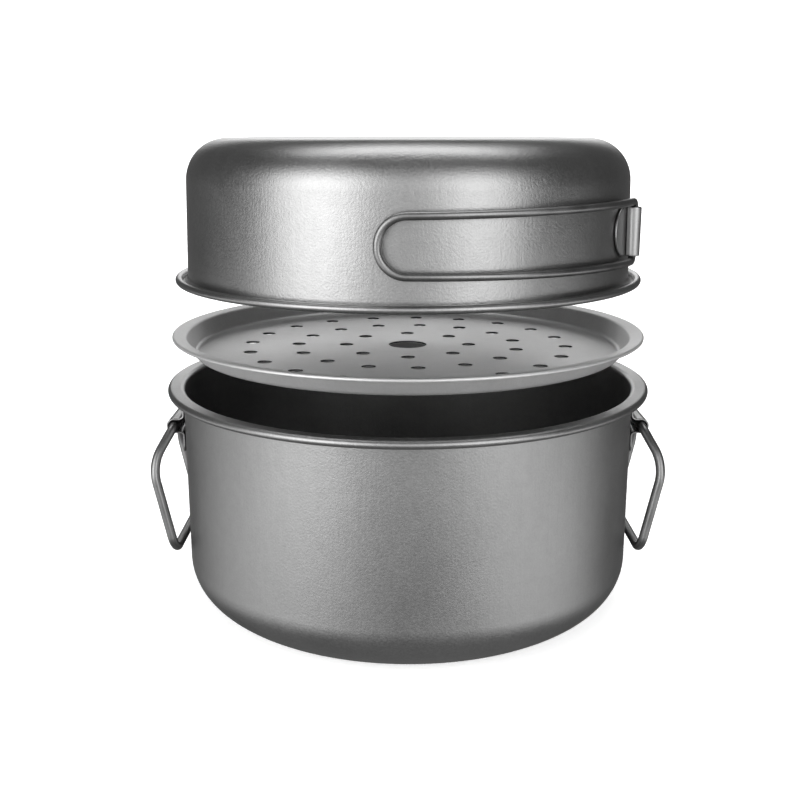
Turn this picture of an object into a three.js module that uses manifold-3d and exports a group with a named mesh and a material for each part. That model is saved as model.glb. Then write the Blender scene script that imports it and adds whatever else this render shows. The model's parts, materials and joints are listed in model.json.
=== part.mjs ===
// Titanium camping cook set: a pot with two folding wire handles, a perforated steamer tray
// and a frying pan that turns over to serve as the lid. The three vessels share one vertical
// axis and are shown lifted apart, in the order in which they nest.
// Millimetres, +Z up, origin at the centre of the pot's underside; -Y is the front.

import * as THREE from 'three';
import { mergeVertices } from 'three/addons/utils/BufferGeometryUtils.js';
import Module from 'manifold-3d';

// ---------------------------------------------------------------- driving dimensions

const SHEET = 0.6;                 // titanium sheet of the three vessels
const CLEARANCE = 0.3;             // gap between pieces that touch
const LATHE_SEGMENTS = 48;

const POT = {
  height: 75,                      // underside to rim
  wallR: 75.6,                     // outer radius of the wall under the rim
  footR: 75.6,                     // where the wall would meet the base, without the corner
  cornerR: 15.5,
  lipR: 1.3,                       // radius that turns the wall out into the lip
  beadR: 1.25,                     // rolled edge
  rimR: 80.6,                      // outermost radius of the rolled edge
};

const PAN = {
  height: 45.5,
  wallR: 72.4,
  footR: 71.3,                     // where the wall would meet the base, without the corner
  cornerR: 13.3,
  lipR: 1.8,
  beadR: 1.15,
  rimR: 76.4,
};

const TRAY = {
  floorDrop: 6.0,                  // rim down to the upper face of the floor
  floorR: 70.9,                    // where the floor would meet the sloping wall
  shoulderR: 74.2,                 // where the wall would meet the rim
  rimSlope: 0.5,                   // fall of the rim towards its inner edge
  floorCornerR: 1.9,
  shoulderCornerR: 1.0,
  hemR: 0.6,
  rimR: 78.3,
  centreHoleR: 6.4,
  holeR: 2.3,
};

// Rings of steam holes: pitch radius, number of holes, and the first hole's angle from the front.
const HOLE_RINGS = [
  { radius: 20.8, count: 8, startDegrees: 0 },
  { radius: 37.1, count: 15, startDegrees: 4.6 },
  { radius: 53.4, count: 20, startDegrees: -4 },
];

// Rest positions of the tray's rim and the pan's rim above the pot's underside.
const TRAY_RIM_Z = 92;
const PAN_RIM_Z = 109;

const POT_WIRE_R = 1.5;
const POT_KNUCKLE = {
  boreR: 1.8,
  outerR: 2.6,
  length: 24,                      // along Y
  drop: 14.6,                      // hinge axis below the pot's rim
  leafTop: 7,                      // upper and lower ends of the welded leaf, below the rim
  leafBottom: 24,
};
const POT_HANDLE = {
  endGap: 4,                       // gap between the two wire ends inside the knuckle
  kneeX: 84.2,                     // where the legs bend down
  kneeHalf: 22.5,                  // half spread of the legs at the knees
  kneeDrop: 10.4,                  // knees below the hinge
  gripX: 77.8,                     // the grip bar beside the wall
  gripHalf: 22.5,
  gripDrop: 40.3,
};

const PAN_WIRE_R = 1.15;
const PAN_HINGE = {
  boreR: 1.45,
  outerR: 2.15,
  length: 14.8,                    // along Z
  radius: 74.8,                    // hinge axis from the pan's axis
  degrees: 66,                     // hinge axis, round from the front towards +X
  height: 18,                      // middle of the hinge above the pan's rim
  plateReach: 10.8,                // welded plate, from the hinge axis to its round end
};
const PAN_HANDLE = {
  hingeSpacing: 18.1,              // between the two wires, at the hinge and at the free end
  freeSpacing: 15.9,
  endDegrees: -6.7,                // round end of the loop, from the front
  endGap: 2,
};

// ---------------------------------------------------------------- materials

const titanium = new THREE.MeshStandardMaterial({ color: 0x8f8f8f, metalness: 1, roughness: 0.45 });
const trayTitanium = new THREE.MeshStandardMaterial({ color: 0xa2a2a2, metalness: 1, roughness: 0.42 });
const wireTitanium = new THREE.MeshStandardMaterial({ color: 0x8a8a8a, metalness: 1, roughness: 0.3 });
const bracketTitanium = new THREE.MeshStandardMaterial({ color: 0x9a9a9a, metalness: 1, roughness: 0.35 });

// ---------------------------------------------------------------- solids and booleans

const wasm = await Module();
wasm.setup();

/** Turns a closed geometry into a manifold solid. */
function toSolid(geometry) {
  const bare = geometry.clone();
  bare.deleteAttribute('normal');
  bare.deleteAttribute('uv');
  const merged = mergeVertices(bare, 1e-5);
  return new wasm.Manifold(new wasm.Mesh({
    numProp: 3,
    vertProperties: new Float32Array(merged.attributes.position.array),
    triVerts: new Uint32Array(merged.index.array),
  }));
}

/** Turns a manifold solid back into a geometry. */
function toGeometry(solid) {
  const { vertProperties, triVerts } = solid.getMesh();
  const geometry = new THREE.BufferGeometry();
  geometry.setAttribute('position', new THREE.BufferAttribute(vertProperties, 3));
  geometry.setIndex(new THREE.BufferAttribute(triVerts, 1));
  geometry.computeVertexNormals();
  return geometry;
}

function makeMesh(name, geometry, material) {
  const mesh = new THREE.Mesh(geometry, material);
  mesh.name = name;
  return mesh;
}

/** A cone or cylinder that stands along Z, centred on the origin. */
function uprightCylinder(topR, bottomR, length, segments) {
  return new THREE.CylinderGeometry(topR, bottomR, length, segments).rotateX(Math.PI / 2);
}

// ---------------------------------------------------------------- outlines

/**
 * Rounds the inner corners of a polyline. Each corner is [x, z, radius]; the first and the
 * last are the ends.
 */
function roundedPath(corners, degreesPerStep) {
  const at = (i) => new THREE.Vector2(corners[i][0], corners[i][1]);
  const points = [at(0)];
  for (let i = 1; i < corners.length - 1; i += 1) {
    const corner = at(i);
    const back = at(i - 1).sub(corner).normalize();
    const ahead = at(i + 1).sub(corner).normalize();
    const radius = corners[i][2];
    const half = Math.acos(back.dot(ahead)) / 2;
    const side = Math.sign(ahead.cross(back));
    const centre = back.clone().add(ahead).normalize().multiplyScalar(radius / Math.sin(half)).add(corner);
    const start = back.multiplyScalar(radius / Math.tan(half)).add(corner).sub(centre);
    const turn = Math.PI - 2 * half;
    const steps = Math.max(2, Math.round(THREE.MathUtils.radToDeg(turn) / degreesPerStep));
    for (let k = 0; k <= steps; k += 1) {
      points.push(start.clone().rotateAround(new THREE.Vector2(), side * turn * k / steps).add(centre));
    }
  }
  points.push(at(corners.length - 1));
  return points;
}

/** The unit vector on the right-hand side of the path at each of its points. */
function rightNormals(points) {
  return points.map((point, i) => {
    const before = points[Math.max(i - 1, 0)];
    const after = points[Math.min(i + 1, points.length - 1)];
    const along = after.clone().sub(before).normalize();
    return new THREE.Vector2(along.y, -along.x);
  });
}

/**
 * The closed section of a spun sheet that starts on the axis, follows the centre line and
 * ends in a rolled bead hanging from the sheet's left-hand face.
 */
function beadedSheetSection(centreLine, beadR) {
  const normals = rightNormals(centreLine);
  normals[0].set(0, -1);
  const offset = (distance) => centreLine.map((point, i) => point.clone().addScaledVector(normals[i], distance));
  const outer = offset(SHEET / 2);
  const inner = offset(-SHEET / 2);
  const endNormal = normals[normals.length - 1];
  const beadCentre = inner[inner.length - 1].clone().addScaledVector(endNormal, beadR);
  const top = endNormal.angle() - Math.PI;
  const join = Math.PI / 2 - Math.asin((beadR - SHEET) / beadR) + top - 2 * Math.PI;
  const bead = [];
  const steps = 7;
  for (let k = 0; k <= steps; k += 1) {
    const angle = THREE.MathUtils.lerp(join, top, k / steps);
    bead.push(new THREE.Vector2(Math.cos(angle), Math.sin(angle)).multiplyScalar(beadR).add(beadCentre));
  }
  return [...outer.slice(0, -1), ...bead, ...inner.slice(0, -1).reverse()];
}

/** Spins a section in the XZ plane about Z. */
function spin(section) {
  return new THREE.LatheGeometry(section, LATHE_SEGMENTS).rotateX(Math.PI / 2);
}

/** A round-cornered path in space. Each corner is [x, y, z, radius]. */
function filletedCurve(corners) {
  const at = (i) => new THREE.Vector3(corners[i][0], corners[i][1], corners[i][2]);
  const curve = new THREE.CurvePath();
  let from = at(0);
  for (let i = 1; i < corners.length - 1; i += 1) {
    const corner = at(i);
    const back = at(i - 1).sub(corner).normalize();
    const ahead = at(i + 1).sub(corner).normalize();
    const reach = corners[i][3] / Math.tan(Math.acos(back.dot(ahead)) / 2);
    const start = back.multiplyScalar(reach).add(corner);
    const end = ahead.multiplyScalar(reach).add(corner);
    curve.add(new THREE.LineCurve3(from, start));
    curve.add(new THREE.QuadraticBezierCurve3(start, corner, end));
    from = end;
  }
  curve.add(new THREE.LineCurve3(from, at(corners.length - 1)));
  return curve;
}

/** Bends a flat curve, drawn as arc length against height, round a cylinder about Z. */
class WrappedCurve extends THREE.Curve {
  constructor(flat, radius) {
    super();
    this.flat = flat;
    this.radius = radius;
  }

  getPoint(t, target = new THREE.Vector3()) {
    const point = this.flat.getPoint(t);
    const angle = point.x / this.radius;
    return target.set(this.radius * Math.sin(angle), -this.radius * Math.cos(angle), point.z);
  }
}

/** A round wire along a curve. */
function wire(curve, radius, steps) {
  const sides = 8;
  const section = new THREE.Shape();
  for (let k = 0; k < sides; k += 1) {
    const angle = 2 * Math.PI * k / sides;
    section[k === 0 ? 'moveTo' : 'lineTo'](radius * Math.cos(angle), radius * Math.sin(angle));
  }
  section.closePath();
  return new THREE.ExtrudeGeometry(section, { steps, extrudePath: curve, bevelEnabled: false });
}

// ---------------------------------------------------------------- vessels

/** Pot or pan, standing on its base at z = 0. */
function vessel({ height, wallR, footR, cornerR, lipR, beadR, rimR }) {
  const half = SHEET / 2;
  const lipZ = height - half;
  const centreLine = roundedPath([
    [0, half],
    [footR - half, half, cornerR - half],
    [wallR - half, lipZ, lipR],
    [rimR - beadR, lipZ],
  ], 22.5);
  return spin(beadedSheetSection(centreLine, beadR));
}

/** Steamer tray, with its rim at z = 0. */
function steamerTray() {
  const half = SHEET / 2;
  const floorZ = -TRAY.floorDrop - half;
  const centreLine = roundedPath([
    [0, floorZ],
    [TRAY.floorR, floorZ, TRAY.floorCornerR],
    [TRAY.shoulderR, -TRAY.rimSlope - half, TRAY.shoulderCornerR],
    [TRAY.rimR - TRAY.hemR, -half],
  ], 25);
  let tray = toSolid(spin(beadedSheetSection(centreLine, TRAY.hemR)));
  const punch = (radius, segments, x, y) => {
    const tool = uprightCylinder(radius, radius, 4 * SHEET, segments).translate(x, y, floorZ);
    tray = tray.subtract(toSolid(tool));
  };
  punch(TRAY.centreHoleR, 24, 0, 0);
  for (const { radius, count, startDegrees } of HOLE_RINGS) {
    for (let k = 0; k < count; k += 1) {
      const angle = THREE.MathUtils.degToRad(startDegrees + 360 * k / count);
      punch(TRAY.holeR, 10, radius * Math.sin(angle), -radius * Math.cos(angle));
    }
  }
  return toGeometry(tray);
}

// ---------------------------------------------------------------- pot handle and its bracket, +X side

const POT_HINGE_X = POT.wallR + CLEARANCE + POT_KNUCKLE.outerR;
const POT_HINGE_Z = POT.height - POT_KNUCKLE.drop;

/** A sheet saddle over the wire, with its leaf bent to the wall. */
function potBracket() {
  const { boreR, outerR, length, leafTop, leafBottom } = POT_KNUCKLE;
  const innerR = POT.wallR + CLEARANCE;
  const leafHeight = leafBottom - leafTop;
  const leafZ = POT.height - (leafTop + leafBottom) / 2;
  const leaf = toSolid(uprightCylinder(innerR + SHEET, innerR + SHEET, leafHeight, 96).translate(0, 0, leafZ));
  const leafWidth = toSolid(new THREE.BoxGeometry(20, length, leafHeight).translate(innerR, 0, leafZ));
  const alongY = (radius, span) => toSolid(
    new THREE.CylinderGeometry(radius, radius, span, 16).translate(POT_HINGE_X, 0, POT_HINGE_Z),
  );
  const flanks = toSolid(
    new THREE.BoxGeometry(outerR + CLEARANCE, length, 2 * outerR)
      .translate(POT_HINGE_X - (outerR + CLEARANCE) / 2, 0, POT_HINGE_Z),
  );
  const wallSpace = toSolid(uprightCylinder(innerR, innerR, POT.height, 96).translate(0, 0, POT.height / 2));
  const body = leaf.intersect(leafWidth).add(alongY(outerR, length)).add(flanks);
  return toGeometry(body.subtract(wallSpace).subtract(alongY(boreR, 2 * length)));
}

/** One wire loop that starts and ends inside the bracket. */
function potHandle() {
  const { endGap, kneeX, kneeHalf, kneeDrop, gripX, gripHalf, gripDrop } = POT_HANDLE;
  const elbow = POT_KNUCKLE.length / 2 + 1.7;
  const kneeZ = POT_HINGE_Z - kneeDrop;
  const gripZ = POT_HINGE_Z - gripDrop;
  const path = filletedCurve([
    [POT_HINGE_X, -endGap / 2, POT_HINGE_Z],
    [POT_HINGE_X, -elbow, POT_HINGE_Z, 4.5],
    [kneeX, -kneeHalf, kneeZ, 13],
    [gripX, -gripHalf, gripZ, 5],
    [gripX, gripHalf, gripZ, 5],
    [kneeX, kneeHalf, kneeZ, 13],
    [POT_HINGE_X, elbow, POT_HINGE_Z, 4.5],
    [POT_HINGE_X, endGap / 2, POT_HINGE_Z],
  ]);
  return wire(path, POT_WIRE_R, 66);
}

// ---------------------------------------------------------------- pan handle and its bracket

const PAN_HINGE_ANGLE = THREE.MathUtils.degToRad(PAN_HINGE.degrees);

/** Outer radius of the upturned pan's wall at a height above its rim. */
function panWallR(z) {
  return THREE.MathUtils.lerp(PAN.wallR, PAN.footR, z / PAN.height);
}

/** A hinge barrel with a round-ended plate bent to the pan's wall, and a web between them. */
function panBracket() {
  const { boreR, outerR, length, radius, height, plateReach } = PAN_HINGE;
  const half = length / 2;
  const outline = new THREE.Shape();
  outline.moveTo(0, half);
  outline.lineTo(half - plateReach, half);
  outline.absarc(half - plateReach, 0, half, Math.PI / 2, 1.5 * Math.PI, false);
  outline.lineTo(0, -half);
  outline.closePath();
  const slab = new THREE.ExtrudeGeometry(outline, { depth: 12, bevelEnabled: false, curveSegments: 12 })
    .rotateX(Math.PI / 2)
    .translate(0, 6 - radius, height);
  const coneHalf = half + 1;
  const cone = (gap) => toSolid(
    uprightCylinder(panWallR(height + coneHalf) + gap, panWallR(height - coneHalf) + gap, 2 * coneHalf, 96)
      .translate(0, 0, height),
  );
  const plate = toSolid(slab).intersect(cone(CLEARANCE + SHEET));
  const webDepth = 2 * outerR;
  const web = toSolid(
    new THREE.BoxGeometry(outerR, webDepth, length).translate(-outerR / 2, webDepth / 2 - radius, height),
  );
  const barrel = (r, span) => toSolid(uprightCylinder(r, r, span, 16).translate(0, -radius, height));
  const body = plate.add(web).add(barrel(outerR, length));
  const bracket = body.subtract(cone(CLEARANCE)).subtract(barrel(boreR, 2 * length));
  return toGeometry(bracket).rotateZ(PAN_HINGE_ANGLE);
}

/** One long wire loop wrapped round the pan's wall, with both ends in the barrel. */
function panHandle() {
  const { hingeSpacing, freeSpacing, endDegrees, endGap } = PAN_HANDLE;
  const hingeHalf = hingeSpacing / 2;
  const freeHalf = freeSpacing / 2;
  const start = PAN_HINGE.radius * PAN_HINGE_ANGLE;
  const end = PAN_HINGE.radius * THREE.MathUtils.degToRad(endDegrees);
  const flat = filletedCurve([
    [start, 0, endGap / 2],
    [start, 0, hingeHalf, 1.9],
    [end + 1.5, 0, freeHalf, freeHalf - 1.5],
    [end, 0, 0, freeHalf],
    [end + 1.5, 0, -freeHalf, freeHalf - 1.5],
    [start, 0, -hingeHalf, 1.9],
    [start, 0, -endGap / 2],
  ]);
  return wire(new WrappedCurve(flat, PAN_HINGE.radius), PAN_WIRE_R, 84).translate(0, 0, PAN_HINGE.height);
}

// ---------------------------------------------------------------- assembly

const cookSet = new THREE.Group();

const pot = new THREE.Group();
pot.add(makeMesh('pot_shell', vessel(POT), titanium));
for (const [side, turn] of [['right', 0], ['left', Math.PI]]) {
  const pair = new THREE.Group();
  pair.rotation.z = turn;
  pair.add(makeMesh(`pot_bracket_${side}`, potBracket(), bracketTitanium));
  pair.add(makeMesh(`pot_handle_${side}`, potHandle(), wireTitanium));
  pot.add(pair);
}
cookSet.add(pot);

const tray = makeMesh('steamer_tray', steamerTray(), trayTitanium);
tray.position.z = TRAY_RIM_Z;
cookSet.add(tray);

const pan = new THREE.Group();
pan.position.z = PAN_RIM_Z;
const panShell = makeMesh('pan_shell', vessel(PAN), titanium);
panShell.rotation.x = Math.PI;
panShell.position.z = PAN.height;
pan.add(panShell);
pan.add(makeMesh('pan_bracket', panBracket(), bracketTitanium));
pan.add(makeMesh('pan_handle', panHandle(), wireTitanium));
cookSet.add(pan);

export default cookSet;
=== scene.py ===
"""Looks of a titanium camping cook set: pot, steamer tray and pan, lifted apart on one axis.

Shape sizes are in millimetres and become metres when a mesh is made. Places come from the
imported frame. -Y is the front.
"""

import json
import math

import bmesh
import bpy
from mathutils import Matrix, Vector
from mathutils.geometry import delaunay_2d_cdt


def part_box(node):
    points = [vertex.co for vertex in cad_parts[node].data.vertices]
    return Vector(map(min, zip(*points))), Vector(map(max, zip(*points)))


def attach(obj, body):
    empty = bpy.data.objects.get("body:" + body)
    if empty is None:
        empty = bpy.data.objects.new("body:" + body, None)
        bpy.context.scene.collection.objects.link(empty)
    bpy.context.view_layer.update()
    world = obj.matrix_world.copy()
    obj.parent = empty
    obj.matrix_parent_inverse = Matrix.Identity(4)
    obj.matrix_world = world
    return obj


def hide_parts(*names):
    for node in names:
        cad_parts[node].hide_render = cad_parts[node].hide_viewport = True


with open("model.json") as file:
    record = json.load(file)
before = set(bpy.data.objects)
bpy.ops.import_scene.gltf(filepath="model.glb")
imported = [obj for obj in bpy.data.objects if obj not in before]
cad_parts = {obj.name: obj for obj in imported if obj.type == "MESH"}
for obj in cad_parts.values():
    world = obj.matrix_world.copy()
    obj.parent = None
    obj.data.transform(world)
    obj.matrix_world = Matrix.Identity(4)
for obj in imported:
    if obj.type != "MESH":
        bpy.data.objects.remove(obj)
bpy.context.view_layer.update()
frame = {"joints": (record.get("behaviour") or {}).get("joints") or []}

MM = 0.001

# ------------------------------------------------------------ sizes read from the frame


def box_mm(node):
    """Lowest and highest corner of a CAD node, in millimetres."""
    low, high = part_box(node)
    return low / MM, high / MM


def pivot_mm(joint_name):
    """A hinge's point, in millimetres."""
    joint = next(j for j in frame["joints"] if j["name"] == joint_name)
    return Vector(joint["pos_m"]) / MM


POT_RIM_R = box_mm("pot_shell")[1].x
POT_HEIGHT = box_mm("pot_shell")[1].z
TRAY_RIM_R = box_mm("steamer_tray")[1].x
TRAY_RIM_Z = box_mm("steamer_tray")[1].z
PAN_RIM_R = box_mm("pan_shell")[1].x
PAN_RIM_Z = box_mm("pan_shell")[0].z
PAN_TOP_Z = box_mm("pan_shell")[1].z
POT_HINGE = pivot_mm("pot_handle_right_swing")
PAN_HINGE = pivot_mm("pan_handle_swing")

# ------------------------------------------------------------ sizes of the shapes

SHEET = 0.6
CLEARANCE = 0.3

POT = {"wall": 75.6, "foot": 75.6, "corner": 15.5, "lip": 1.3, "bead": 1.25}
PAN = {"wall": 72.4, "foot": 71.3, "corner": 13.3, "lip": 1.8, "bead": 1.15}
BEAD_DEGREES = 288               # how far a vessel's edge is rolled

TRAY_FLOOR_DROP = 6.0
TRAY_FLOOR_R = 70.9
TRAY_SHOULDER_R = 74.2
TRAY_RIM_SLOPE = 0.5
TRAY_HEM_R = 0.6
TRAY_HEM_TAIL = (0.2, 0.5)       # points along the edge folded back under the rim
TRAY_HEM_GAP = 0.01              # opens the fold a little
TRAY_FLOOR_BEND = 1.9
TRAY_SHOULDER_BEND = 1.0
TRAY_PLATE_R = 67.0              # the flat, perforated part of the floor
CENTRE_HOLE_R = 6.4
STEAM_HOLE_R = 2.3
HOLE_RINGS = (                   # pitch radius, holes, first hole's angle from the front
    (20.8, 8, 0.0),
    (37.1, 15, 4.6),
    (53.4, 20, -4.0),
)

POT_WIRE_R = 1.5
PAN_WIRE_R = 1.15

BRACKET_SHEET = 0.6
POT_KNUCKLE = {
    "length": 24.0,              # along Y
    "wrap": 2.25,                # centre line of the sheet round the wire
    "flare": 1.5,                # bend from the leaf out over the wire
    "leaf_top": 7.0,             # upper and lower ends of the leaf, below the rim
    "leaf_bottom": 24.0,
    "leaf_corner": 2.6,
    "flare_steps": 12,
    "wrap_steps": 40,
    "weld_rows": (2.6, 3.0),     # from the leaf's upper and lower ends
    "weld_spacing": 6.5,
    "flat_from": 0.4,            # outside the hinge axis, where the saddle starts to turn flat
}
PAN_BARREL = {
    "length": 14.8,              # along Z
    "wrap": 1.9,
    "wrap_degrees": 318,
    "plate_reach": 10.8,         # from the hinge axis to the plate's round end
    "plate_step": 0.6,
    "wrap_steps": 54,
    "weld_row": 4.6,             # from the plate's round end
    "weld_spacing": 6.4,
    "blend": 3.0,                # over which the barrel's sheet meets the pan's wall
}
WELD_R = 1.5
WELD_DEPTH = 0.16
WELD_CREST = (0.55, 1.3)         # how shallow a dent's middle is, and how steep its sides
BRACKET_ROWS = 110               # mesh rows along a bracket's sheet
POT_BRACKET_COLUMNS = 90
PAN_BRACKET_COLUMNS = 70

SPIN_SEGMENTS = 192

# ------------------------------------------------------------ outlines in a plane


def rounded_path(corners, degrees_per_step=6.0, margin=0.5, longest=12.0):
    """A polyline with rounded inner corners. Each corner is (x, z, radius).

    Straight runs get a point close to each end and none longer than `longest`.
    """
    stops = [Vector(corners[0][:2])]
    runs = []
    for before, corner, after in zip(corners, corners[1:], corners[2:]):
        at = Vector(corner[:2])
        back = (Vector(before[:2]) - at).normalized()
        ahead = (Vector(after[:2]) - at).normalized()
        half = math.acos(max(-1.0, min(1.0, back.dot(ahead)))) / 2
        centre = at + (back + ahead).normalized() * corner[2] / math.sin(half)
        start = at + back * corner[2] / math.tan(half) - centre
        turn = (math.pi - 2 * half) * math.copysign(1, ahead.x * back.y - ahead.y * back.x)
        steps = max(4, round(abs(math.degrees(turn)) / degrees_per_step))
        arc = [centre + rotated(start, turn * k / steps) for k in range(steps + 1)]
        runs.append(straight_run(stops[-1], arc[0], margin, longest))
        runs.append(arc)
        stops.append(arc[-1])
    runs.append(straight_run(stops[-1], Vector(corners[-1][:2]), margin, longest))
    points = [runs[0][0]]
    for run in runs:
        points += [p for p in run if (p - points[-1]).length > 1e-6]
    return points


def rotated(v, angle):
    c, s = math.cos(angle), math.sin(angle)
    return Vector((v.x * c - v.y * s, v.x * s + v.y * c))


def straight_run(a, b, margin, longest):
    length = (b - a).length
    if length < 3 * margin:
        return [a, b]
    inner = length - 2 * margin
    count = max(1, math.ceil(inner / longest))
    distances = [0.0] + [margin + inner * k / count for k in range(count + 1)] + [length]
    return [a.lerp(b, d / length) for d in distances]


def curl(path, radius, turn_degrees, steps=28):
    """Carries the path on into a roll that turns to the right."""
    along = (path[-1] - path[-2]).normalized()
    to_centre = Vector((along.y, -along.x)) * radius
    centre = path[-1] + to_centre
    turn = -math.radians(turn_degrees)
    return path + [centre + rotated(-to_centre, turn * k / steps) for k in range(1, steps + 1)]


def right_normals(points):
    normals = []
    for i in range(len(points)):
        along = (points[min(i + 1, len(points) - 1)] - points[max(i - 1, 0)]).normalized()
        normals.append(Vector((along.y, -along.x)))
    return normals


def sheet_outline(centre_line, thickness, end_steps=5):
    """The outline of a sheet round its centre line: right side, round end, left side."""
    normals = right_normals(centre_line)
    if abs(centre_line[0].x) < 1e-9:
        normals[0] = Vector((0, -1))
    half = thickness / 2
    right = [p + n * half for p, n in zip(centre_line, normals)]
    left = [p - n * half for p, n in zip(centre_line, normals)]
    tip = [
        centre_line[-1] + rotated(normals[-1] * half, math.pi * k / end_steps)
        for k in range(1, end_steps)
    ]
    return right + tip + left[::-1]


# ------------------------------------------------------------ meshes


def make_piece(name, vertices, faces, body, material, nodes=()):
    """A smooth closed mesh from points in millimetres, riding on a CAD body."""
    mesh = bpy.data.meshes.new(name)
    mesh.from_pydata([tuple(Vector(v) * MM) for v in vertices], [], faces)
    shape = bmesh.new()
    shape.from_mesh(mesh)
    bmesh.ops.remove_doubles(shape, verts=shape.verts, dist=1e-7)
    bmesh.ops.dissolve_degenerate(shape, edges=shape.edges, dist=1e-7)
    bmesh.ops.recalc_face_normals(shape, faces=shape.faces)
    shape.to_mesh(mesh)
    shape.free()
    mesh.shade_smooth()
    mesh.materials.append(material)
    piece = bpy.data.objects.new(name, mesh)
    bpy.context.scene.collection.objects.link(piece)
    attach(piece, body)
    if nodes:
        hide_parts(*nodes)
    return piece


def spin_faces(outline, segments, vertices, faces, closed=False):
    """Spins an outline of (radius, z) about Z, adding to vertices and faces.

    Points on the axis become one vertex. Returns the rings of vertex numbers.
    """
    rings = []
    for r, z in outline:
        first = len(vertices)
        if abs(r) < 1e-9:
            vertices.append((0.0, 0.0, z))
            rings.append([first] * segments)
            continue
        for k in range(segments):
            angle = math.tau * k / segments
            vertices.append((r * math.cos(angle), r * math.sin(angle), z))
        rings.append(list(range(first, first + segments)))
    pairs = list(zip(rings, rings[1:]))
    if closed:
        pairs.append((rings[-1], rings[0]))
    for lower, upper in pairs:
        for k in range(segments):
            after = (k + 1) % segments
            corner = (lower[k], lower[after], upper[after], upper[k])
            faces.append(tuple(dict.fromkeys(corner)))
    return rings


def grid_faces(rows, faces, loop_rows=False, loop_columns=False):
    """Quads between neighbouring rows of vertex numbers."""
    pairs = list(zip(rows, rows[1:]))
    if loop_rows:
        pairs.append((rows[-1], rows[0]))
    for one, two in pairs:
        count = len(one)
        last = count if loop_columns else count - 1
        for k in range(last):
            after = (k + 1) % count
            faces.append((one[k], one[after], two[after], two[k]))


# ------------------------------------------------------------ materials


class Nodes:
    """A short way to write a material's node tree."""

    def __init__(self, name):
        self.material = bpy.data.materials.new(name)
        self.material.use_nodes = True
        self.tree = self.material.node_tree
        self.shader = self.tree.nodes["Principled BSDF"]
        self.place = self.add("ShaderNodeTexCoord").outputs["Object"]

    def add(self, kind, inputs=None, **settings):
        node = self.tree.nodes.new(kind)
        for key, value in settings.items():
            setattr(node, key, value)
        for key, value in (inputs or {}).items():
            if isinstance(value, bpy.types.NodeSocket):
                self.tree.links.new(value, node.inputs[key])
            else:
                node.inputs[key].default_value = value
        return node

    def noise(self, scale, detail=2.0, roughness=0.5, stretch=None):
        """Noise with about `scale` lumps per metre, stretched by a factor for each axis."""
        place = self.place
        if stretch:
            place = self.add("ShaderNodeMapping", {"Vector": place, "Scale": stretch}).outputs[0]
        node = self.add(
            "ShaderNodeTexNoise",
            {"Vector": place, "Scale": scale, "Detail": detail, "Roughness": roughness},
        )
        return node.outputs["Fac"]

    def spread(self, noise, low, high):
        """Spreads the middle of a noise's range, where most of its values lie, over low to high."""
        node = self.add("ShaderNodeMapRange", {
            "Value": noise,
            "From Min": 0.3,
            "From Max": 0.7,
            "To Min": low,
            "To Max": high,
        })
        return node.outputs["Result"]

    def math(self, operation, a, b):
        return self.add("ShaderNodeMath", {0: a, 1: b}, operation=operation).outputs[0]

    def mix(self, factor, dark, light):
        """Mixes two colours, each an (r, g, b) or the output of a node."""
        node = self.add("ShaderNodeMix", data_type="RGBA")
        sockets = {s.identifier: s for s in node.inputs}
        pairs = (("Factor_Float", factor), ("A_Color", dark), ("B_Color", light))
        for identifier, value in pairs:
            if isinstance(value, bpy.types.NodeSocket):
                self.tree.links.new(value, sockets[identifier])
            else:
                sockets[identifier].default_value = (*value, 1)
        return next(s for s in node.outputs if s.identifier == "Result_Color")

    def bump(self, height, distance, strength=1.0, normal=None):
        inputs = {"Height": height, "Distance": distance, "Strength": strength}
        if normal is not None:
            inputs["Normal"] = normal
        return self.add("ShaderNodeBump", inputs).outputs["Normal"]

    def link(self, output, socket):
        self.tree.links.new(output, self.shader.inputs[socket])


# Sizes of the metal's marks, in lumps per metre, and the depths of their bumps, in metres.
CLOUDS_SCALE = 28
MOTTLE_SCALE = 330
GRIT_SCALE = 1500
STREAK_SCALE = 900
WAVE_SCALE = 16
WAVE_DEPTH = 0.0009
GRIT_DEPTH = 0.00005
SCRATCH_DEPTH = 0.00002

# Painted shade in the tray's holes: a near-black colour on a band of the punched hole walls.
HOLE_PAINTED_SHADE_COLOUR = (0.05,) * 3
HOLE_PAINTED_SHADE_TOP = 0.08             # the band of painted shade on a hole's wall, below the plate's upper face
HOLE_PAINTED_SHADE_BOTTOM = 0.56


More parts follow.
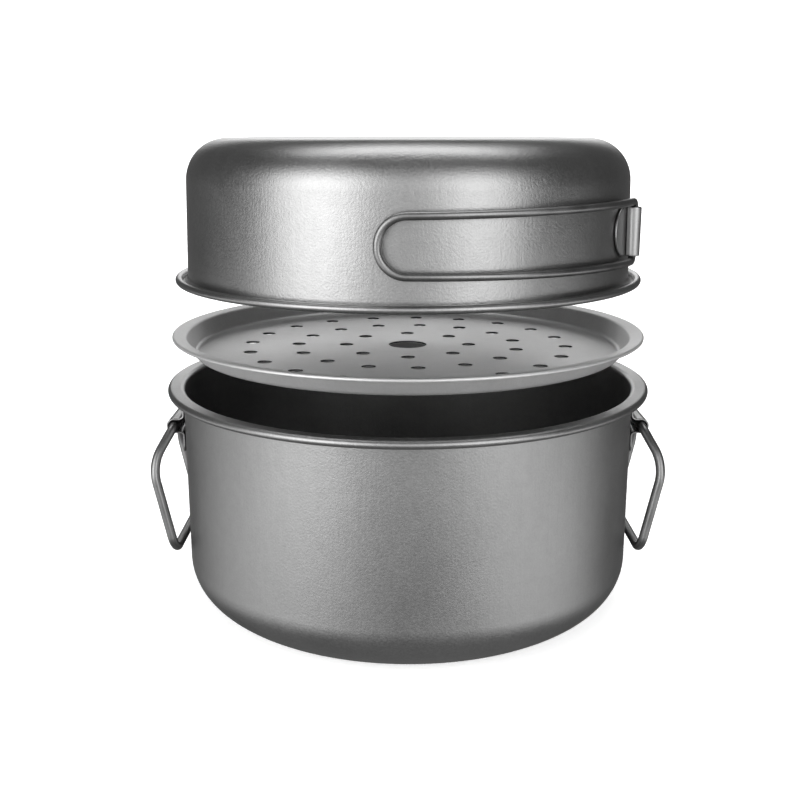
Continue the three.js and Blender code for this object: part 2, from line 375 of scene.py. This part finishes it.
def blasted_titanium(
    name, dark, light, roughness, grain=1.0, waviness=1.0, metallic=1.0, painted_shade_mask=None
):
    """Bead-blasted sheet: fine pits, mottling, faint vertical draw marks and a slow waviness, and
    painted shade where a mask is given.
    """
    n = Nodes(name)
    clouds = n.noise(CLOUDS_SCALE, detail=3.0, roughness=0.55)
    mottle = n.noise(MOTTLE_SCALE, detail=2.0, roughness=0.6)
    grit = n.noise(GRIT_SCALE, detail=3.0, roughness=0.65)
    streaks = n.noise(STREAK_SCALE, detail=2.0, roughness=0.6, stretch=(1.0, 1.0, 0.05))
    blend = n.math("ADD", n.spread(clouds, 0.0, 0.25), n.spread(mottle, 0.0, 0.2))
    blend = n.math("ADD", blend, n.spread(grit, 0.0, 0.45))
    blend = n.math("ADD", blend, n.spread(streaks, 0.0, 0.1))
    colour = n.mix(blend, dark, light)
    # Painted shade: the masked places are painted near black.
    if painted_shade_mask:
        colour = n.mix(painted_shade_mask(n), colour, HOLE_PAINTED_SHADE_COLOUR)
    n.link(colour, "Base Color")
    rough = n.math(
        "ADD",
        n.spread(clouds, roughness - 0.03, roughness + 0.03),
        n.spread(grit, -0.04, 0.04),
    )
    n.link(rough, "Roughness")
    n.shader.inputs["Metallic"].default_value = metallic
    slow = n.bump(n.noise(WAVE_SCALE, detail=1.0), WAVE_DEPTH * waviness)
    drawn = n.bump(streaks, SCRATCH_DEPTH, normal=slow)
    pitted = n.bump(grit, GRIT_DEPTH * grain, normal=drawn)
    n.link(pitted, "Normal")
    return n.material


def hole_painted_shade_mask(n):
    """Where shade is painted: 1 on the punched walls of the tray's holes and 0 on the rest of the
    tray.
    """
    plate_z = TRAY_RIM_Z - TRAY_FLOOR_DROP
    place = n.add("ShaderNodeSeparateXYZ", {0: n.place}).outputs
    below = n.math("LESS_THAN", place["Z"], (plate_z - HOLE_PAINTED_SHADE_TOP) * MM)
    above = n.math("GREATER_THAN", place["Z"], (plate_z - HOLE_PAINTED_SHADE_BOTTOM) * MM)
    square = n.math(
        "ADD",
        n.math("MULTIPLY", place["X"], place["X"]),
        n.math("MULTIPLY", place["Y"], place["Y"]),
    )
    inside = n.math("LESS_THAN", square, (TRAY_PLATE_R * MM) ** 2)
    return n.math("MULTIPLY", n.math("MULTIPLY", below, above), inside)


def drawn_wire(name, dark, light, roughness):
    """Smooth wire with faint scratches and a slightly uneven polish."""
    n = Nodes(name)
    scratches = n.noise(1800, detail=2.0, roughness=0.6)
    clouds = n.noise(120, detail=2.0)
    blend = n.math("ADD", n.spread(clouds, 0.0, 0.6), n.spread(scratches, 0.0, 0.4))
    n.link(n.mix(blend, dark, light), "Base Color")
    n.link(n.spread(clouds, roughness - 0.05, roughness + 0.05), "Roughness")
    n.shader.inputs["Metallic"].default_value = 1.0
    n.link(n.bump(scratches, SCRATCH_DEPTH), "Normal")
    return n.material


POT_METAL = blasted_titanium("pot_titanium", (0.27,) * 3, (0.36,) * 3, 0.38)
PAN_METAL = blasted_titanium("pan_titanium", (0.27,) * 3, (0.36,) * 3, 0.34, grain=1.25)
# The tray's hole walls get painted shade.
TRAY_METAL = blasted_titanium(
    "tray_titanium", (0.5,) * 3, (0.6,) * 3, 0.44,
    waviness=0.4, metallic=0.8, painted_shade_mask=hole_painted_shade_mask,
)
WIRE_METAL = drawn_wire("wire_titanium", (0.19,) * 3, (0.29,) * 3, 0.36)
BRACKET_METAL = drawn_wire("bracket_titanium", (0.27,) * 3, (0.37,) * 3, 0.36)

# ------------------------------------------------------------ pot and pan shells


def vessel_outline(sizes, height, rim_r):
    """Section of a spun vessel on its base at z = 0, its edge rolled outward."""
    half = SHEET / 2
    path = rounded_path([
        (0.0, half, 0.0),
        (sizes["foot"] - half, half, sizes["corner"] - half),
        (sizes["wall"] - half, height - half, sizes["lip"]),
        (rim_r - sizes["bead"], height - half, 0.0),
    ])
    return sheet_outline(curl(path, sizes["bead"] - half, BEAD_DEGREES), SHEET)


def make_pot_shell():
    vertices, faces = [], []
    outline = vessel_outline(POT, POT_HEIGHT, POT_RIM_R)
    spin_faces(outline, SPIN_SEGMENTS, vertices, faces)
    make_piece("pot_body", vertices, faces, "pot", POT_METAL, ["pot_shell"])


def make_pan_shell():
    """The pan is drawn upright and turned over."""
    vertices, faces = [], []
    outline = vessel_outline(PAN, PAN_TOP_Z - PAN_RIM_Z, PAN_RIM_R)
    spin_faces(outline, SPIN_SEGMENTS, vertices, faces)
    vertices = [(x, -y, PAN_TOP_Z - z) for x, y, z in vertices]
    make_piece("pan_body", vertices, faces, "pan", PAN_METAL, ["pan_shell"])


# ------------------------------------------------------------ steamer tray

# A hole's edge, from the plate's upper face to its lower one: (distance outside the hole, height
# above the plate's upper face).
HOLE_EDGE = (
    (1.2, 0.0), (0.8, 0.0), (0.5, 0.01), (0.3, 0.04), (0.14, 0.05), (0.04, 0.02), (0.0, -0.06),
    (0.0, -0.5), (0.04, -0.74), (0.18, -0.75), (0.4, -0.66), (0.6, -SHEET), (1.2, -SHEET),
)
HOLE_SEGMENTS = 36


def ring_points(x, y, radius, segments):
    return [
        Vector((x + radius * math.cos(math.tau * k / segments),
                y + radius * math.sin(math.tau * k / segments)))
        for k in range(segments)
    ]


def fill_plate(vertices, faces, outer_ring, hole_rings, centres, upward):
    """Fills between one outer ring and the rings round the holes, all at one height."""
    loops = [outer_ring] + hole_rings
    numbers = [i for loop in loops for i in loop]
    points = [Vector(vertices[i][:2]) for i in numbers]
    edges = []
    start = 0
    for loop in loops:
        count = len(loop)
        edges += [(start + k, start + (k + 1) % count) for k in range(count)]
        start += count
    _, _, triangles, _, _, _ = delaunay_2d_cdt(points, edges, [], 1, 1e-6)
    for triangle in triangles:
        middle = sum((points[k] for k in triangle), Vector((0, 0))) / 3
        if any((middle - Vector(c[:2])).length < c[2] for c in centres):
            continue
        face = tuple(numbers[k] for k in triangle)
        faces.append(face if upward else face[::-1])


def make_tray():
    vertices, faces = [], []
    half = SHEET / 2
    floor_z = TRAY_RIM_Z - TRAY_FLOOR_DROP
    rim_z = TRAY_RIM_Z
    path = rounded_path([
        (TRAY_PLATE_R, floor_z - half, 0.0),
        (TRAY_FLOOR_R, floor_z - half, TRAY_FLOOR_BEND),
        (TRAY_SHOULDER_R, rim_z - TRAY_RIM_SLOPE - half, TRAY_SHOULDER_BEND),
        (TRAY_RIM_R - TRAY_HEM_R, rim_z - half, 0.0),
    ], degrees_per_step=9, longest=4.0)
    path = curl(path, TRAY_HEM_R - half + TRAY_HEM_GAP, 180, steps=10)
    along = (path[-1] - path[-2]).normalized()
    path += [path[-1] + along * d for d in TRAY_HEM_TAIL]
    outline = sheet_outline(path, SHEET)
    rings = spin_faces(outline, SPIN_SEGMENTS, vertices, faces)
    lower_outer, upper_outer = rings[0], rings[-1]

    holes = [(0.0, 0.0, CENTRE_HOLE_R, 2 * HOLE_SEGMENTS)]
    for pitch, count, start in HOLE_RINGS:
        for k in range(count):
            angle = math.radians(start + 360 * k / count)
            x, y = pitch * math.sin(angle), -pitch * math.cos(angle)
            holes.append((x, y, STEAM_HOLE_R, HOLE_SEGMENTS))
    upper_rings, lower_rings, centres = [], [], []
    for x, y, radius, segments in holes:
        rows = []
        for outside, rise in HOLE_EDGE:
            first = len(vertices)
            ring = ring_points(x, y, radius + outside, segments)
            vertices += [(p.x, p.y, floor_z + rise) for p in ring]
            rows.append(list(range(first, first + segments)))
        grid_faces(rows, faces, loop_columns=True)
        upper_rings.append(rows[0])
        lower_rings.append(rows[-1])
        centres.append((x, y, radius + HOLE_EDGE[0][0] * 0.98))
    fill_plate(vertices, faces, upper_outer, upper_rings, centres, upward=True)
    fill_plate(vertices, faces, lower_outer, lower_rings, centres, upward=False)
    make_piece("tray_body", vertices, faces, "tray", TRAY_METAL, ["steamer_tray"])


# ------------------------------------------------------------ wires


def fillet_points(corners, step=0.5):
    """Points along a round-cornered path in space. Each corner is (point, radius)."""
    points = [Vector(corners[0][0])]
    for (before, _), (corner, radius), (after, _) in zip(corners, corners[1:], corners[2:]):
        corner = Vector(corner)
        back = (Vector(before) - corner).normalized()
        ahead = (Vector(after) - corner).normalized()
        half = back.angle(ahead) / 2
        centre = corner + (back + ahead).normalized() * radius / math.sin(half)
        start = corner + back * radius / math.tan(half) - centre
        end = corner + ahead * radius / math.tan(half) - centre
        turn = math.pi - 2 * half
        steps = max(4, round(radius * turn / step))
        points += straight_points(points[-1], centre + start, 3 * step)
        for k in range(1, steps + 1):
            points.append(centre + start.slerp(end, k / steps).normalized() * radius)
    points += straight_points(points[-1], Vector(corners[-1][0]), 3 * step)
    return points


def straight_points(a, b, step):
    if (b - a).length < 1e-6:
        return []
    count = math.ceil((b - a).length / step)
    return [a.lerp(b, k / count) for k in range(1, count + 1)]


# The softened end of a wire: (distance from the end, share of the radius).
WIRE_END = ((0.0, 0.55), (0.12, 0.85), (0.35, 1.0))


def make_wire(name, points, radius, body, node, sides=28):
    """A round wire along the points, with softened ends."""
    vertices, faces, rows = [], [], []
    side = (points[1] - points[0]).orthogonal().normalized()
    stations = []
    total = len(points)
    for i in range(total):
        along = (points[min(i + 1, total - 1)] - points[max(i - 1, 0)]).normalized()
        side = (side - along * side.dot(along)).normalized()
        up = along.cross(side)
        if i == 0:
            stations += [
                (points[0] + along * d, side, up, radius * share) for d, share in WIRE_END
            ]
        elif i == total - 1:
            stations += [
                (points[-1] - along * d, side, up, radius * share)
                for d, share in reversed(WIRE_END)
            ]
        else:
            stations.append((points[i], side, up, radius))
    for centre, u, v, r in stations:
        first = len(vertices)
        for k in range(sides):
            angle = math.tau * k / sides
            vertices.append(centre + u * (r * math.cos(angle)) + v * (r * math.sin(angle)))
        rows.append(list(range(first, first + sides)))
    grid_faces(rows, faces, loop_columns=True)
    faces.append(tuple(reversed(rows[0])))
    faces.append(tuple(rows[-1]))
    faces = [tuple(reversed(f)) for f in faces]
    return make_piece(name, vertices, faces, body, WIRE_METAL, [node])


POT_HANDLE = {
    "end_gap": 4.0,              # between the two wire ends inside the knuckle
    "elbow_reach": 1.7,          # from the knuckle's end to the elbow's corner
    "elbow_bend": 4.5,
    "knee_x": 84.2,              # where the legs bend down
    "knee_half": 22.5,
    "knee_drop": 10.4,
    "knee_bend": 13.0,
    "grip_x": 77.8,              # the grip bar beside the wall
    "grip_half": 22.5,
    "grip_drop": 40.3,
    "grip_bend": 5.0,
}


def make_pot_handle(side, sign):
    h = POT_HANDLE
    x, z = POT_HINGE.x, POT_HINGE.z
    elbow = POT_KNUCKLE["length"] / 2 + h["elbow_reach"]
    knee_z = z - h["knee_drop"]
    grip_z = z - h["grip_drop"]
    half_path = [
        ((x, -h["end_gap"] / 2, z), 0.0),
        ((x, -elbow, z), h["elbow_bend"]),
        ((h["knee_x"], -h["knee_half"], knee_z), h["knee_bend"]),
        ((h["grip_x"], -h["grip_half"], grip_z), h["grip_bend"]),
    ]
    other_half = [((p[0], -p[1], p[2]), radius) for p, radius in reversed(half_path)]
    points = [Vector((sign * p.x, sign * p.y, p.z)) for p in fillet_points(half_path + other_half)]
    node = f"pot_handle_{side}"
    make_wire(f"{node}_wire", points, POT_WIRE_R, node, node)


PAN_HANDLE = {
    "hinge_spacing": 18.1,       # between the two wires, at the hinge and at the free end
    "free_spacing": 15.9,
    "end_degrees": -6.7,         # round end of the loop, from the front
    "end_gap": 2.0,
    "hinge_bend": 1.9,
}


def make_pan_handle():
    radius = math.hypot(PAN_HINGE.x, PAN_HINGE.y)
    start = radius * math.atan2(PAN_HINGE.x, -PAN_HINGE.y)
    end = radius * math.radians(PAN_HANDLE["end_degrees"])
    hinge_half = PAN_HANDLE["hinge_spacing"] / 2
    free_half = PAN_HANDLE["free_spacing"] / 2
    gap = PAN_HANDLE["end_gap"] / 2
    flat = fillet_points([
        ((start, 0, gap), 0.0),
        ((start, 0, hinge_half), PAN_HANDLE["hinge_bend"]),
        ((end, 0, free_half), free_half),
        ((end, 0, -free_half), free_half),
        ((start, 0, -hinge_half), PAN_HANDLE["hinge_bend"]),
        ((start, 0, -gap), 0.0),
    ])
    points = []
    for p in flat:
        angle = p.x / radius
        x, y = radius * math.sin(angle), -radius * math.cos(angle)
        points.append(Vector((x, y, PAN_HINGE.z + p.z)))
    make_wire("pan_handle_wire", points, PAN_WIRE_R, "pan_handle", "pan_handle")


# ------------------------------------------------------------ welded sheet brackets


def edge_steps(length, half_thickness, count):
    """Stations across a sheet with round edges: (distance, share of the thickness)."""
    radius = min(half_thickness, length / 2)
    rim = [(radius * (1 - math.cos(a)), math.sin(a)) for a in (0.0, 0.5, 1.0, math.pi / 2)]
    inner = length - 2 * radius
    middle = [(radius + inner * k / count, 1.0) for k in range(1, count)]
    return rim + middle + [(length - d, share) for d, share in reversed(rim)]


def path_frame(path, distance):
    """Point and right-hand normal at a distance along a polyline."""
    for a, b in zip(path, path[1:]):
        run = (b - a).length
        if distance <= run or b is path[-1]:
            along = (b - a) / run
            return a + along * distance, Vector((along.y, -along.x))
        distance -= run


def make_bracket(name, path, half_width, place, welds, rows, columns, body, node):
    """A bent sheet that follows `path`, given as 2-D points.

    half_width(d) is half the sheet's width at a distance d along the path. place(point, y)
    puts a 2-D point and a place across the width into space. Welds are (distance, y) dents.
    """
    half = BRACKET_SHEET / 2
    total = sum((b - a).length for a, b in zip(path, path[1:]))
    vertices, faces, loops = [], [], []
    for distance, row_share in edge_steps(total, half, rows):
        point, normal = path_frame(path, distance)
        width = 2 * half_width(distance)
        outer, inner = [], []
        for across, share in edge_steps(width, half, columns):
            y = across - width / 2
            dent = sum(weld_dent(math.dist((distance, y), weld)) for weld in welds)
            thick = half * row_share * share
            outer.append(len(vertices))
            vertices.append(place(point + normal * (thick - dent * row_share * share), y))
            inner.append(len(vertices))
            vertices.append(place(point - normal * thick, y))
        loops.append(outer + inner[::-1])
    grid_faces(loops, faces, loop_columns=True)
    make_piece(name, vertices, faces, body, BRACKET_METAL, [node])


def weld_dent(distance):
    """Depth of a spot weld's dent, with a slightly raised middle."""
    if distance >= WELD_R:
        return 0.0
    t = distance / WELD_R
    middle, slope = WELD_CREST
    return WELD_DEPTH * (1 - t * t) ** 2 * (middle + slope * t)


def arc_points(centre, radius, start_degrees, end_degrees, steps):
    angles = [start_degrees + (end_degrees - start_degrees) * k / steps for k in range(steps + 1)]
    return [centre + rotated(Vector((radius, 0)), math.radians(a)) for a in angles]


def make_pot_bracket(side, sign):
    """A saddle over the wire. Its path runs down the wall, out over the wire and back."""
    k = POT_KNUCKLE
    leaf_x = POT["wall"] + CLEARANCE + BRACKET_SHEET / 2
    hinge = Vector((POT_HINGE.x, POT_HINGE.z))
    flare_dx = leaf_x + k["flare"] - hinge.x
    flare_dz = math.sqrt((k["wrap"] + k["flare"]) ** 2 - flare_dx ** 2)
    lean = math.degrees(math.atan2(flare_dz, flare_dx))
    upper = hinge + Vector((flare_dx, flare_dz))
    lower = hinge + Vector((flare_dx, -flare_dz))
    leaf_start = Vector((leaf_x, POT_HEIGHT - k["leaf_top"]))
    leaf_end = Vector((leaf_x, POT_HEIGHT - k["leaf_bottom"]))
    path = [leaf_start]
    path += arc_points(upper, k["flare"], 180, 180 + lean, k["flare_steps"])
    path += arc_points(hinge, k["wrap"], lean, -lean, k["wrap_steps"])[1:]
    path += arc_points(lower, k["flare"], 180 - lean, 180, k["flare_steps"])[1:]
    path.append(leaf_end)
    total = sum((b - a).length for a, b in zip(path, path[1:]))

    def half_width(distance):
        end = min(distance, total - distance)
        corner = k["leaf_corner"]
        if end >= corner:
            return k["length"] / 2
        return k["length"] / 2 - corner + math.sqrt(corner ** 2 - (corner - end) ** 2)

    def place(point, y):
        flat_x = hinge.x + k["flat_from"]
        on_leaf = max(0.0, min(1.0, (flat_x - point.x) / (flat_x - leaf_x)))
        bend = math.sqrt(leaf_x ** 2 - y ** 2) - leaf_x
        return (sign * (point.x + bend * on_leaf), sign * y, point.y)

    across = (-k["weld_spacing"], 0.0, k["weld_spacing"])
    upper_row, lower_row = k["weld_rows"]
    welds = [(upper_row, y) for y in across] + [(total - lower_row, y) for y in across]
    name = f"pot_bracket_{side}"
    make_bracket(
        f"{name}_saddle", path, half_width, place, welds,
        BRACKET_ROWS, POT_BRACKET_COLUMNS, "pot", name,
    )


def make_pan_bracket():
    """A round-ended plate on the wall, with its other end curled into the hinge barrel.

    Its path is drawn as arc length round the pan against radius.
    """
    k = PAN_BARREL
    hinge_r = math.hypot(PAN_HINGE.x, PAN_HINGE.y)
    hinge_angle = math.atan2(PAN_HINGE.x, -PAN_HINGE.y)
    half = k["length"] / 2
    plate_r = hinge_r - k["wrap"]
    hinge = Vector((0.0, hinge_r))
    plate_end = Vector((-k["plate_reach"], plate_r))
    path = straight_run(plate_end, Vector((0.0, plate_r)), 0.3, k["plate_step"])
    path += arc_points(hinge, k["wrap"], -90, k["wrap_degrees"] - 90, k["wrap_steps"])[1:]

    def half_width(distance):
        if distance >= half:
            return half
        return max(0.02, math.sqrt(half ** 2 - (half - distance) ** 2))

    def wall_r(z):
        share = (z - PAN_RIM_Z) / (PAN_TOP_Z - PAN_RIM_Z)
        return PAN["wall"] + (PAN["foot"] - PAN["wall"]) * share

    def place(point, y):
        z = PAN_HINGE.z + y
        on_wall = max(0.0, min(1.0, -point.x / k["blend"]))
        on_wall = on_wall * on_wall * (3 - 2 * on_wall)
        leaf_r = wall_r(z) + CLEARANCE + BRACKET_SHEET / 2 + (point.y - plate_r)
        radius = point.y + (leaf_r - point.y) * on_wall
        angle = hinge_angle + point.x / hinge_r
        return (radius * math.sin(angle), -radius * math.cos(angle), z)

    welds = [(k["weld_row"], sign * k["weld_spacing"] / 2) for sign in (-1, 1)]
    make_bracket(
        "pan_bracket_barrel", path, half_width, place, welds,
        BRACKET_ROWS, PAN_BRACKET_COLUMNS, "pan", "pan_bracket",
    )


# ------------------------------------------------------------ build

make_pot_shell()
make_pan_shell()
make_tray()
for side, sign in (("right", 1), ("left", -1)):
    make_pot_bracket(side, sign)
    make_pot_handle(side, sign)
make_pan_bracket()
make_pan_handle()

# ------------------------------------------------------------ stage, lights and camera


def stage_material():
    n = Nodes("stage_white")
    n.shader.inputs["Base Color"].default_value = (0.86, 0.86, 0.86, 1)
    n.shader.inputs["Roughness"].default_value = 0.9
    n.shader.inputs["Emission Color"].default_value = (1, 1, 1, 1)
    n.shader.inputs["Emission Strength"].default_value = 0.5
    return n.material


def make_stage(radius=3.0, rise=2.0):
    """A pale floor that curves up all round, out of the metal's reflections."""
    outline = rounded_path(
        [(0.0, 0.0, 0.0), (radius, 0.0, rise * 0.8), (radius, rise, 0.0)], margin=0.05, longest=0.5
    )
    vertices, faces = [], []
    spin_faces(outline, 96, vertices, faces)
    mesh = bpy.data.meshes.new("floor")
    mesh.from_pydata(vertices, [], [tuple(reversed(f)) for f in faces])
    mesh.shade_smooth()
    mesh.materials.append(stage_material())
    floor = bpy.data.objects.new("floor", mesh)
    bpy.context.scene.collection.objects.link(floor)
    floor.visible_glossy = False
    floor.visible_shadow = False


class Sky:
    """A studio drawn on the world: soft-edged patches of light by azimuth and elevation.

    Azimuth is in degrees from the front, towards +X. The floor hides nothing from the metal,
    so the patches below the horizon are what the upright walls reflect.
    """

    def __init__(self, base):
        world = bpy.data.worlds.new("studio")
        world.use_nodes = True
        self.tree = world.node_tree
        self.background = self.tree.nodes["Background"]
        self.background.inputs["Color"].default_value = (1, 1, 1, 1)
        direction = self.add("ShaderNodeTexCoord").outputs["Generated"]
        axes = self.add("ShaderNodeSeparateXYZ", direction)
        front = self.math("MULTIPLY", axes.outputs["Y"], -1.0)
        self.azimuth = self.degrees(self.math("ARCTAN2", axes.outputs["X"], front))
        self.elevation = self.degrees(self.math("ARCSINE", axes.outputs["Z"]))
        self.total = self.math("ADD", base, 0.0)
        bpy.context.scene.world = world

    def add(self, kind, *inputs, **settings):
        node = self.tree.nodes.new(kind)
        for key, value in settings.items():
            setattr(node, key, value)
        for key, value in enumerate(inputs):
            if isinstance(value, bpy.types.NodeSocket):
                self.tree.links.new(value, node.inputs[key])
            else:
                node.inputs[key].default_value = value
        return node

    def math(self, operation, *inputs):
        return self.add("ShaderNodeMath", *inputs, operation=operation).outputs[0]

    def degrees(self, angle):
        return self.math("DEGREES", angle)

    def hump(self, value, start, full, end_full, end):
        """Nought outside start and end, one between full and end_full, smooth between."""
        smooth = {"interpolation_type": "SMOOTHSTEP"}
        rise = self.add("ShaderNodeMapRange", value, start, full, **smooth)
        fall = self.add("ShaderNodeMapRange", value, end, end_full, **smooth)
        return self.math("MULTIPLY", rise.outputs[0], fall.outputs[0])

    def patch(self, strength, elevations, azimuths=None, behind=False):
        light = self.math("MULTIPLY", self.hump(self.elevation, *elevations), strength)
        if azimuths:
            value = self.math("ABSOLUTE", self.azimuth) if behind else self.azimuth
            light = self.math("MULTIPLY", light, self.hump(value, *azimuths))
        self.total = self.math("ADD", self.total, light)

    def finish(self):
        self.tree.links.new(self.total, self.background.inputs["Strength"])


SKY_BASE = 0.1

# Strength, elevations (start, full, full, end) and azimuths of the lights drawn on the sky.
SKY_PATCHES = (
    (3.6, (-14, -6, 16, 58), (-84, -54, -38, -15)),
    (2.5, (-14, -6, 16, 58), (12, 28, 44, 64)),
    (1.0, (-14, -6, 16, 58), (-60, -25, 25, 50)),
    (1.15, (-44, -22, -13, -6), (-145, -84, -54, -16)),
    (1.4, (-44, -22, -13, -6), (22, 58, 76, 122)),
    (0.3, (-44, -22, -13, -6), (-60, -25, 25, 60)),
    (0.12, (-91, -90, -60, -40), None),
)
# The same, with azimuths counted from the front to either side.
BEHIND_PATCHES = (
    (2.7, (3, 8, 15, 22), (156, 170, 180, 181)),
    (3.2, (54, 66, 90, 91), (70, 120, 180, 181)),
)


def make_sky():
    sky = Sky(SKY_BASE)
    for strength, elevations, azimuths in SKY_PATCHES:
        sky.patch(strength, elevations, azimuths)
    for strength, elevations, azimuths in BEHIND_PATCHES:
        sky.patch(strength, elevations, azimuths, behind=True)
    sky.finish()


CAMERA_PLACE = (-0.0026, -0.36, 0.1573)    # metres
CAMERA_TILT_DEGREES = 14.17                # below the horizon
CAMERA_LENS = 48.375                       # millimetres, on a 36 mm sensor


def make_camera():
    data = bpy.data.cameras.new("camera")
    data.lens = CAMERA_LENS
    data.sensor_width = 36.0
    data.clip_start = 0.01
    camera = bpy.data.objects.new("camera", data)
    bpy.context.scene.collection.objects.link(camera)
    camera.location = CAMERA_PLACE
    camera.rotation_euler = (math.radians(90 - CAMERA_TILT_DEGREES), 0, 0)
    bpy.context.scene.camera = camera


make_stage()
make_sky()
make_camera()
bpy.context.scene.view_settings.view_transform = "Standard"
